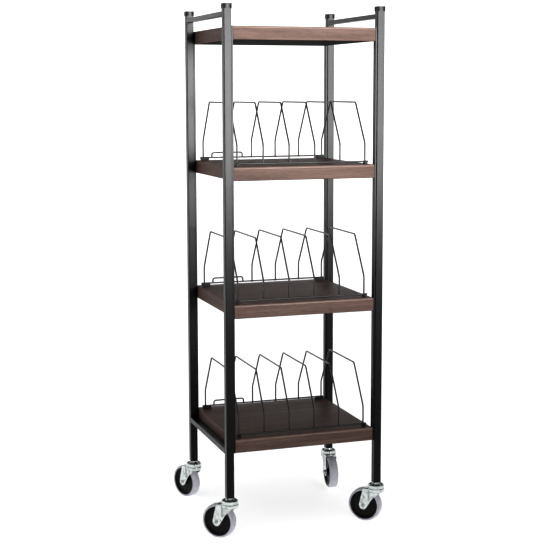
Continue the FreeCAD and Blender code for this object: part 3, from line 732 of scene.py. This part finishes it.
class CHARTRACK_OT_boards(bpy.types.Operator):
    """Walnut boards with rolled-over upper edges and blind bores, and the sheet below each"""
    bl_idname = "chart_rack.boards"
    bl_label = "Boards"

    def execute(self, context):
        low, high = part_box("shelf_1")
        size = (high - low) / MM
        rolled, eased = 5.0, 1.5  # rounding of the upper and the lower edges
        bore, bore_depth, bore_drop = 3.05, 12.0, 0.5
        board = block("board", size)
        top = size.z / 2 * MM
        half_way = size.x / 2 * MM
        open_mesh(board)
        bevelled(board, lambda one, two: min(one.z, two.z) > top - NEAR
                 and abs(one.x - two.x) > half_way, rolled, 6)
        bevelled(board, lambda one, two: max(one.z, two.z) < NEAR - top
                 and abs(one.x - two.x) > half_way, eased, 3)
        close_mesh()
        rounded_edges(board, eased / 2 * MM)
        for corner in CORNERS:
            post_low, post_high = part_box("post_" + corner)
            middle = (post_low + post_high) / 2 - (low + high) / 2
            side = math.copysign(size.x / 2 - bore_depth / 2, middle.x)
            drill = turned("drill", [(bore, -bore_depth / 2), (bore, bore_depth / 2 + 1)], 32)
            turn = Matrix.Rotation(math.radians(math.copysign(90, middle.x)), 4, "Y")
            place(drill, Matrix.Translation((side * MM, middle.y, -bore_drop * MM)) @ turn)
            cut_away(board, drill)
        coat(board, "walnut")
        # the faces of the rounded upper edge take the lighter finish: a painted highlight
        board.data.materials.append(finish_named("walnut edge highlight"))
        coat_faces(board, lambda middle, normal: middle.z > top - rolled * MM
                   and abs(normal.y) > 0.1 and normal.z > 0.1, 1)
        for number in BOARDS:
            low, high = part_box("shelf_%d" % number)
            made = copy_of(board, "walnut_board_%d" % number,
                           Matrix.Translation((low + high) / 2))
            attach(made, "rack")
            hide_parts("shelf_%d" % number)
        bpy.data.objects.remove(board)
        # the sheet under each board is near-black: painted shade
        coat_nodes(["shelf_backer_%d" % number for number in BOARDS], "backing")
        return {"FINISHED"}


class CHARTRACK_OT_wires(bpy.types.Operator):
    """Finish on the wire work, and a small weld where each loop meets a rail"""
    bl_idname = "chart_rack.wires"
    bl_label = "Wire dividers"

    def execute(self, context):
        for start in ("dividers_", "wire_rails_"):
            coat_nodes([start + str(n) for n in DIVIDED], "wire coat")
        coat_nodes(["rear_hoops"], "wire coat")
        coat_nodes(["wire_clips"], "nylon")
        size = context.scene.chart_rack_sizes.weld_size / MM
        loops, stretch, unevenness, lift = 6, (1.5, 0.55, 1.25), 0.12, 0.4
        for number in DIVIDED:
            loop_low, loop_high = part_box("dividers_%d" % number)
            rail_low, rail_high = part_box("wire_rails_%d" % number)
            wire = rail_high.z - rail_low.z
            height = (rail_low.z + rail_high.z) / 2
            first = loop_low.x + wire / 2
            step = (loop_high.x - loop_low.x - wire) / (loops - 1)
            beads = []
            rows = ((rail_low.y + wire / 2, loop_low.y + wire / 2),
                    (rail_high.y - wire / 2, loop_high.y - wire / 2))
            for rail, leg in rows:
                for i in range(loops):
                    nothing_selected()
                    bpy.ops.mesh.primitive_uv_sphere_add(segments=12, ring_count=8,
                                                         radius=size / 2 * MM)
                    bead = call_it("bead")
                    open_mesh(bead)
                    bpy.ops.mesh.select_all(action="SELECT")
                    bpy.ops.transform.resize(value=stretch)
                    bpy.ops.transform.vertex_random(offset=unevenness * MM,
                                                    seed=number * 20 + i)
                    close_mesh()
                    place(bead, Matrix.Translation((first + i * step, (rail + leg) / 2,
                                                    height + lift * MM)))
                    beads.append(bead)
            welds = joined(beads, "wire_welds_%d" % number)
            soft_shaded(welds, WIDE_ANGLE)
            coat(welds, "wire coat")
            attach(welds, "rack")
        return {"FINISHED"}


def caster_heights():
    """Levels and radii of a caster in mm, read from the frame."""
    one = CORNERS[0]
    axle = Vector(joint_named("roll_" + one)["pos_m"])
    pivot = swivel_point(one)
    cup_low, cup_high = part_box("caster_cup_" + one)
    tyre_low, tyre_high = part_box("wheel_tyre_" + one)
    core_low, core_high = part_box("wheel_core_" + one)
    stem_low, stem_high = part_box("caster_stem_" + one)
    return SimpleNamespace(
        axle=axle.z / MM,
        trail=(axle.xy - pivot.xy).length / MM,
        crown=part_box("caster_fork_" + one)[1].z / MM,
        cup_foot=cup_low.z / MM,
        cup_top=cup_high.z / MM,
        cup_radius=(cup_high.x - cup_low.x) / 2 / MM,
        head=stem_low.z / MM,
        stem_top=stem_high.z / MM,
        post_foot=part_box("post_" + one)[0].z / MM,
        tyre=(tyre_high.z - tyre_low.z) / 2 / MM,
        core=(core_high.z - core_low.z) / 2 / MM,
    )


class CHARTRACK_OT_swivels(bpy.types.Operator):
    """Pivot with its hex collar, raceway cup and bearing ring of each caster, and a black ring in
    the cup's top as a painted dark reflection
    """
    bl_idname = "chart_rack.swivels"
    bl_label = "Caster swivels"

    def execute(self, context):
        caster = caster_heights()
        pin, shank, head, head_rise, slope, eased = 5.0, 5.5, 8.0, 3.4, 0.7, 0.4
        base, nut_foot = caster.head, caster.cup_top + 0.1
        pivot = turned("pivot", [
            (head - eased, base), (head, base + eased), (head, base + head_rise - slope),
            (head - slope, base + head_rise), (pin, base + head_rise), (pin, nut_foot - 1),
            (shank, nut_foot - 1), (shank, caster.stem_top - 1.8),
            (shank - 1, caster.stem_top)])
        collar, cut = 10.9, 0.8
        nut = turned("collar", [
            (collar - 1.3, nut_foot), (collar, nut_foot + cut),
            (collar, caster.post_foot - cut), (collar - 1.1, caster.post_foot)], 6)
        rounded_edges(nut, 0.35 * MM, 2)
        hole, edge, washer_top = shank + 0.1, 12.3, nut_foot + 1.4
        washer = turned("washer", [
            (hole, nut_foot), (edge - 0.5, nut_foot), (edge, nut_foot + 0.3),
            (edge, washer_top - 0.3), (edge - 0.4, washer_top), (hole, washer_top),
            (hole, nut_foot)])
        stem = joined([pivot, nut, washer], "stem")

        bore, wall, shoulder, lip, inner_round = 5.1, 2.0, 2.6, 0.5, 1.8
        rim, top, foot = caster.cup_radius, caster.cup_top, caster.cup_foot
        recess, ring_start, ring_end = 0.55, 13.2, rim - shoulder - 1.2
        cup = turned("cup", [(bore, top), (ring_start - 0.3, top), (ring_start, top - recess),
                             (ring_end, top - recess), (ring_end + 0.2, top - 0.1)]
                     + arc((rim - shoulder, top - 0.1 - shoulder), shoulder, 84, 0, 8)
                     + [(rim, foot + lip)] + arc((rim - lip, foot + lip), lip, -10, -90, 4)
                     + [(rim - wall, foot), (rim - wall, top - wall - inner_round),
                        (rim - wall - inner_round, top - wall), (bore, top - wall),
                        (bore, top)])
        seal_bore, seal_rim = 18.0, rim - 0.35
        seal_low, seal_high = caster.crown - 0.6, foot + 0.5
        seal = turned("bearing_ring", [(seal_bore, seal_low), (seal_rim - 0.6, seal_low),
                                       (seal_rim, seal_low + 0.5), (seal_rim, seal_high - 0.4),
                                       (seal_bore, seal_high), (seal_bore, seal_low)])
        # a black ring sunk in the cup's top: painted dark reflection of the post above it
        inner, outer, sunk, flush = ring_start + 0.3, ring_end - 0.2, recess + 0.1, 0.05
        dust_ring = turned("dust_ring", [
            (inner, top - sunk), (outer, top - sunk), (outer, top - flush - 0.3),
            (outer - 0.5, top - flush), (inner + 0.5, top - flush),
            (inner, top - flush - 0.3), (inner, top - sunk)])
        for corner in CORNERS:
            here = caster_matrix(corner)
            parts = (
                (stem, "caster_pivot_", "caster_stem_", "zinc", "zinc_steel"),
                (cup, "raceway_cup_", "caster_cup_", "zinc", "zinc_steel"),
                # the bearing ring takes the darker zinc: painted shade in the gap between cup and
                # crown
                (seal, "bearing_ring_", None, "dull zinc", "zinc_steel"),
                (dust_ring, "dark_reflection_ring_", None, "seal", "black_plastic"),
            )
            for shape, name, node, finish, slot in parts:
                made = copy_of(shape, name + corner, here)
                coat(made, finish)
                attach(made, "rack")
                if node:
                    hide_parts(node + corner)
        for shape in (stem, cup, seal, dust_ring):
            bpy.data.objects.remove(shape)
        return {"FINISHED"}


def between(points, height):
    """Where a line through (across, height) points stands at one height."""
    for (x0, z0), (x1, z1) in zip(points, points[1:]):
        if z0 <= height <= z1:
            return x0 + (x1 - x0) * (height - z0) / (z1 - z0)
    return points[0][0] if height < points[0][1] else points[-1][0]


def leg_rows(caster, face, level):
    """Rows of one fork leg from its round end to the start of the bend, in mm:
    (rear edge, front edge, sideways, height)."""
    straight, row_step = 2.9, 3.6
    # straight front edge, and a rear edge that swells out below the crown
    front_line = [(46.2, caster.axle + straight), (34.0, caster.crown)]
    rear_line = [(23.4, caster.axle - 6.6), (6.5, 71.0), (0.5, 77.6), (-7.0, 82.6),
                 (-11.6, 87.5), (-13.4, 93.0), (-14.0, caster.crown)]
    heights = [caster.axle + LEG_END * math.sin(math.radians(angle))
               for angle in (-86, -76, -64, -50, -36, -24, -12, 0)]
    heights += [caster.axle + straight + row_step * i for i in range(12)]
    heights.append(level - LEG_BEND)
    rows = []
    for height in heights:
        drop = height - caster.axle
        reach = math.sqrt(max(0.0, LEG_END * LEG_END - drop * drop))
        rear, front = caster.trail - reach, caster.trail + reach
        if height >= rear_line[0][1]:
            rear = between(rear_line, height)
        if height >= front_line[0][1]:
            front = between(front_line, height)
        rows.append((rear, front, face, height))
    return rows


def fork_rows(caster, sheet):
    """Rows of the pressed fork from one leg's end over the crown to the other."""
    sunk, bend_steps = 0.8, 6  # depth of the sheet below the crown's top
    level = caster.crown - sunk - sheet / 2
    rows = leg_rows(caster, FORK_WIDTH / 2 - sheet / 2, level)
    rear, front, face = rows[-1][:3]
    for i in range(1, bend_steps + 1):
        angle = math.radians(90 / bend_steps * i)
        rows.append((rear, front, face - LEG_BEND * (1 - math.cos(angle)),
                     level - LEG_BEND * (1 - math.sin(angle))))
    other = [(low, high, -side, up) for low, high, side, up in reversed(rows)]
    return rows + other


def pressed_sheet(name, rows, columns, thickness):
    """A sheet drawn row by row with extrude, then given its thickness in metres."""
    nothing_selected()
    bpy.ops.mesh.primitive_grid_add(x_subdivisions=columns, y_subdivisions=1, size=1)
    piece = call_it(name)
    open_mesh(piece)
    # the grid keeps one row of points, half a metre off the middle
    choose(piece, lambda spot: spot.y > 0)
    bpy.ops.mesh.delete(type="VERT")
    bpy.ops.mesh.select_all(action="SELECT")
    rear, front, side, height = rows[0]
    bpy.ops.transform.resize(value=((front - rear) * MM, 1, 1), center_override=(0, 0, 0))
    bpy.ops.transform.translate(
        value=((front + rear) / 2 * MM, side * MM + 0.5, height * MM))
    for low, high, across, up in rows[1:]:
        bpy.ops.mesh.extrude_region_move()
        middle = (front + rear) / 2 * MM
        ratio = (high - low) / (front - rear)
        bpy.ops.transform.resize(value=(ratio, 1, 1), center_override=(middle, 0, 0))
        bpy.ops.transform.translate(value=((high + low - front - rear) / 2 * MM,
                                           (across - side) * MM, (up - height) * MM))
        rear, front, side, height = low, high, across, up
    sealed()
    wall = piece.modifiers.new("wall", "SOLIDIFY")
    wall.thickness = thickness
    wall.offset = 0
    wall.use_even_offset = True
    take(piece)
    bpy.ops.object.modifier_apply(modifier=wall.name)
    return piece


class CHARTRACK_OT_forks(bpy.types.Operator):
    """Pressed swivel forks: round crown with a skirt, and a rib in each leg"""
    bl_idname = "chart_rack.forks"
    bl_label = "Caster forks"

    def execute(self, context):
        caster = caster_heights()
        steel = context.scene.chart_rack_sizes.sheet_steel
        sheet = pressed_sheet("fork_sheet", fork_rows(caster, steel / MM), 16, steel)
        rounded_edges(sheet, 0.5 * MM, 2)

        bore, track, sunk = 5.2, 20.0, 0.5  # pivot hole, and the sunk track on top
        top, rim, wall, round_over, inner_round = caster.crown, 25.0, 2.4, 2.6, 1.5
        plate, bend, bowl, foot = top - 3.0, top - 6.4, 7.7, 14.0
        crown = turned("crown", [(bore, plate), (rim - wall - inner_round, plate),
                                 (rim - wall, plate - inner_round)]
                       + arc((foot, bend), rim - foot - wall, 0, -90, 8, bowl - wall)
                       + arc((foot, bend), rim - foot, -90, 0, 10, bowl)
                       + arc((rim - round_over, top - round_over), round_over, 0, 84, 8)
                       + [(track, top), (track - 1, top - sunk), (bore, top - sunk),
                          (bore, plate)])
        way_start, way_end, way_width, way_height = 3.0, 30.0, 32.0, 30.0
        way = block("wheel_way", (way_end - way_start, way_width, way_height),
                    ((way_start + way_end) / 2, 0, plate - way_height / 2))
        cut_away(crown, way)

        rib_size, rib_along, rib_height, rib_inset = (6.4, 3.6, 32.0), 15.8, 82.0, 0.6
        ribs = []
        for side in (-1, 1):
            rib = block("rib", rib_size,
                        (rib_along, side * (FORK_WIDTH / 2 - rib_inset), rib_height))
            rounded_edges(rib, 1.3 * MM, 5)
            # the darker zinc on the rib is painted shade along the pressed line
            coat(rib, "dull zinc")
            ribs.append(rib)
        coat(sheet, "zinc")
        coat(crown, "zinc")
        fork = joined([sheet, crown] + ribs, "fork")
        for corner in CORNERS:
            made = copy_of(fork, "pressed_fork_" + corner, caster_matrix(corner))
            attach(made, "swivel_" + corner)
            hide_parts("caster_fork_" + corner)
        bpy.data.objects.remove(fork)
        return {"FINISHED"}


class CHARTRACK_OT_axles(bpy.types.Operator):
    """Dimpled axle bolts with a washer and a hex nut"""
    bl_idname = "chart_rack.axles"
    bl_label = "Axles"

    def execute(self, context):
        face, shank, head, tail = FORK_WIDTH / 2, 3.95, 5.2, -26.0
        flank, dome = 0.7, 1.5  # height of the head's side and its rounding
        bolt = turned("bolt", [(shank - 0.5, tail), (shank, tail + 0.6), (shank, face),
                               (head, face), (head, face + flank)]
                      + arc((head - dome, face + flank), dome, 10, 90, 5)
                      + [(2.9, face + 2.1), (2.3, face + 1.0), (0.5, face + 0.6)], 48)
        hole, edge, inside, outside = 4.1, 8.3, -face - 0.05, -face - 1.6
        collar = turned("washer", [
            (hole, inside), (edge - 0.3, inside), (edge, inside - 0.3), (edge, outside + 0.3),
            (edge - 0.3, outside), (hole, outside), (hole, inside)], 48)
        across, slope, nut_end = 7.45, 1.05, -face - 6.5
        nut = turned("hex", [(across - slope, outside), (across, outside - 0.8),
                             (across, nut_end + 0.6), (across - slope, nut_end)], 6)
        rounded_edges(nut, 0.3 * MM, 2)
        for corner in CORNERS:
            here = wheel_matrix(corner)
            parts = (
                (bolt, "axle_bolt_", "caster_axle_", "dull zinc"),
                (nut, "axle_nut_", "caster_nut_", "zinc"),
                (collar, "axle_washer_", None, "zinc"),
            )
            for shape, name, node, finish in parts:
                made = copy_of(shape, name + corner, here)
                coat(made, finish)
                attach(made, "swivel_" + corner)
                if node:
                    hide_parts(node + corner)
        for shape in (bolt, collar, nut):
            bpy.data.objects.remove(shape)
        return {"FINISHED"}


class CHARTRACK_OT_wheels(bpy.types.Operator):
    """Moulded wheels with a dished disc and a crowned rubber tread"""
    bl_idname = "chart_rack.wheels"
    bl_label = "Wheels"

    def execute(self, context):
        caster = caster_heights()
        core, outer, sides = caster.core, caster.tyre, 96
        bore, hub, boss, dish, bead, half_rim = 4.05, 15.0, 13.0, 8.6, 5.6, 13.0
        half = [(bore, hub), (boss - 3.4, hub), (boss - 2.6, hub - 0.6),
                (boss - 1.4, dish + 1.2), (boss + 0.6, dish),
                (core - bead - 3.4, dish - 0.5), (core - bead - 1.4, dish + 0.2),
                (core - bead, half_rim - 1.0), (core - bead + 1.2, half_rim - 0.1),
                (core - 1.0, half_rim), (core, half_rim - 0.7)]
        disc = turned("disc", half + [(core, 0.0)] + [(r, -h) for r, h in reversed(half)]
                      + [half[0]], sides)

        crown = context.scene.chart_rack_sizes.tread_crown / MM
        seat, half_tread, corner_round = core + 0.05, 14.0, 5.0
        edge = outer - crown
        shoulder = arc((edge - corner_round, half_tread - corner_round), corner_round,
                       88, 8, 8)
        side = [(seat, 0.0), (seat, half_tread - 0.6), (seat + 0.6, half_tread)] + shoulder
        tread = turned("tread", side + [(outer - crown / 4, half_tread / 3), (outer, 0.0),
                                        (outer - crown / 4, -half_tread / 3)]
                       + [(r, -h) for r, h in reversed(side)], sides)
        coat(disc, "wheel")
        coat(tread, "tread")
        # the side walls get the darker rubber: painted shade
        tread.data.materials.append(finish_named("tread side shade"))
        coat_faces(tread, lambda middle, normal: abs(normal.z) > 0.5, 1)
        for corner in CORNERS:
            here = wheel_matrix(corner)
            parts = (
                (disc, "wheel_disc_", "wheel_core_", "black_wheel"),
                (tread, "wheel_tread_", "wheel_tyre_", "grey_tread"),
            )
            for shape, name, node, slot in parts:
                made = copy_of(shape, name + corner, here)
                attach(made, "wheel_" + corner)
                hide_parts(node + corner)
        for shape in (disc, tread):
            bpy.data.objects.remove(shape)
        return {"FINISHED"}


OPERATORS = (
    CHARTRACK_OT_stage,
    CHARTRACK_OT_frame,
    CHARTRACK_OT_caps,
    CHARTRACK_OT_boards,
    CHARTRACK_OT_wires,
    CHARTRACK_OT_swivels,
    CHARTRACK_OT_forks,
    CHARTRACK_OT_axles,
    CHARTRACK_OT_wheels,
)


class CHARTRACK_PT_panel(bpy.types.Panel):
    """Buttons for each group of pieces, with the colours and sizes"""
    bl_label = "Chart Rack"
    bl_idname = "CHARTRACK_PT_panel"
    bl_space_type = "VIEW_3D"
    bl_region_type = "UI"
    bl_category = "Chart Rack"

    def draw(self, context):
        for operator in OPERATORS:
            self.layout.operator(operator.bl_idname)
        for settings in (context.scene.chart_rack_colours, context.scene.chart_rack_sizes):
            column = self.layout.column()
            for name in settings.__annotations__:
                column.prop(settings, name)


CLASSES = (ChartRackColours, ChartRackSizes) + OPERATORS + (CHARTRACK_PT_panel,)


def register():
    for item in CLASSES:
        bpy.utils.register_class(item)
    bpy.types.Scene.chart_rack_colours = bpy.props.PointerProperty(type=ChartRackColours)
    bpy.types.Scene.chart_rack_sizes = bpy.props.PointerProperty(type=ChartRackSizes)


def unregister():
    del bpy.types.Scene.chart_rack_sizes
    del bpy.types.Scene.chart_rack_colours
    for item in reversed(CLASSES):
        bpy.utils.unregister_class(item)


def main():
    """Builds everything."""
    register()
    for operator in OPERATORS:
        group, name = operator.bl_idname.split(".")
        getattr(getattr(bpy.ops, group), name)()


if __name__ == "__main__":
    main()
